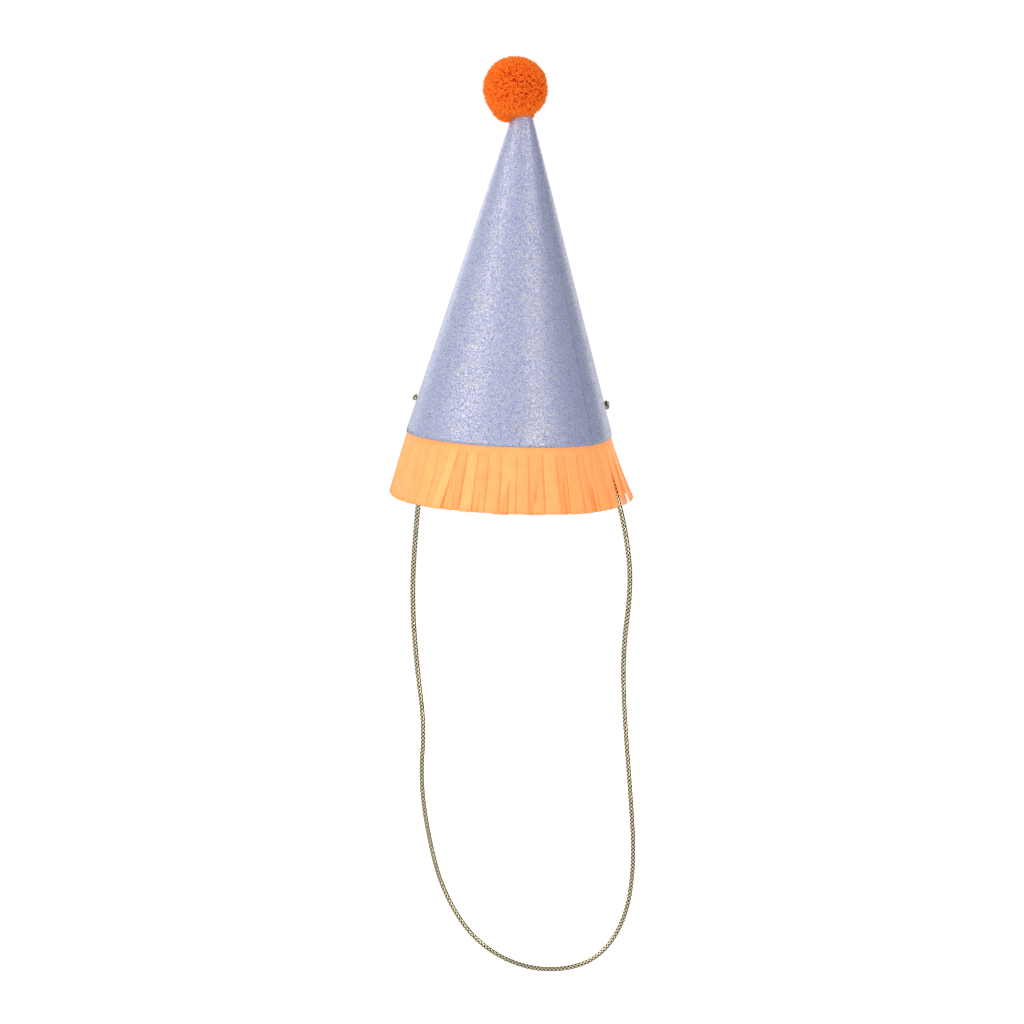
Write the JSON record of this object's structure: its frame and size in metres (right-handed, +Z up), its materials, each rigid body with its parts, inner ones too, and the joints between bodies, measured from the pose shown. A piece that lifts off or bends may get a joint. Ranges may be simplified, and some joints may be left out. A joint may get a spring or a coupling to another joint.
{
  "type": "party hat",
  "caption": "Cone party hat of rolled glitter card with a yarn pompom on the tip, a slit tissue fringe at the rim and a gold elastic chin cord.",
  "frame": {"origin": "centre of the hat's mouth, in the plane of the card's rim", "axes": "+Z up the cone's axis to the pompom, -Y the front, the cord holes at -X and +X"},
  "size_m": [0.1342, 0.1214, 0.4706],
  "materials": {
    "glitter_card": "satin",
    "tissue": "satin",
    "clear_tape": "gloss",
    "gold_cord": "gloss",
    "pompom_yarn": "matte",
    "tie_thread": "matte"
  },
  "bodies": {
    "hat_shell": {"card_cone": "glitter_card", "seam_tape": "clear_tape", "fringe_outer": "tissue", "fringe_inner": "tissue", "fringe_tape": "clear_tape"},
    "cord_loop": {"chin_cord": "gold_cord", "knot_left": "gold_cord", "knot_right": "gold_cord"},
    "pompom": {"pompom_yarn": "pompom_yarn", "pompom_tie": "tie_thread", "tie_knot": "tie_thread"}
  },
  "joints": [
    {"name": "chin_cord_swing", "type": "hinge", "parent": "hat_shell", "child": "cord_loop", "pos_m": [0, 0.01, 0.0156], "axis": [1, 0, 0], "range_deg": [-22, 7]},
    {"name": "pompom_turn", "type": "hinge", "parent": "hat_shell", "child": "pompom", "pos_m": [0, 0, 0.1698], "axis": [0, 0, 1], "range_deg": [-40, 40]}
  ]
}
